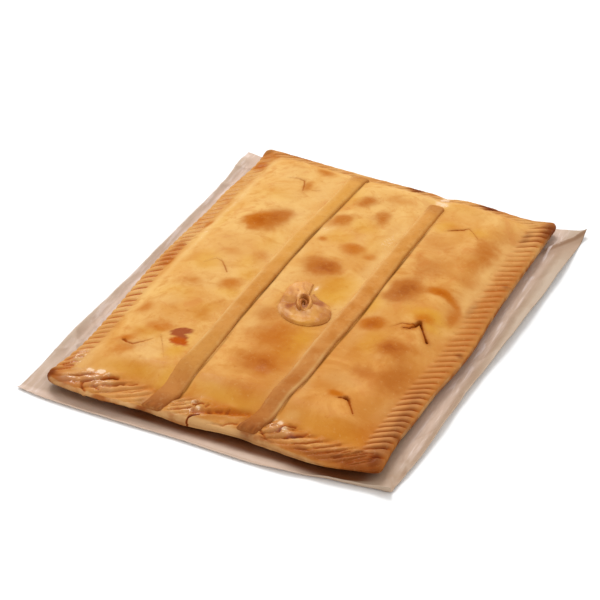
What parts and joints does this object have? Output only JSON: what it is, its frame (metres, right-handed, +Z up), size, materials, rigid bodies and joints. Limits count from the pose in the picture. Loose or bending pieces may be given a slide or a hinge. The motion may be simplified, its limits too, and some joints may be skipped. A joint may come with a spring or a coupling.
{
  "type": "cod empanada",
  "caption": "Rectangular baked pie with a crimped rim, laid-on dough strips and a rolled dough rosette, lying on its baking paper.",
  "frame": {"origin": "on the floor, below the middle of the whole, baking paper included", "axes": "+Z up; +Y along the dough strips, from the front edge with the strip ends hanging over to the back; +X to the right"},
  "size_m": [0.331, 0.4107, 0.0335],
  "materials": {
    "crust": "soft egg-wash sheen",
    "dough_strip": "matt",
    "dough_rosette": "soft egg-wash sheen",
    "baking_paper": "satin"
  },
  "bodies": {
    "root": {"pie": "crust", "strip_left": "dough_strip", "strip_right": "dough_strip", "rosette": "dough_rosette", "paper": "baking_paper"}
  },
  "joints": []
}
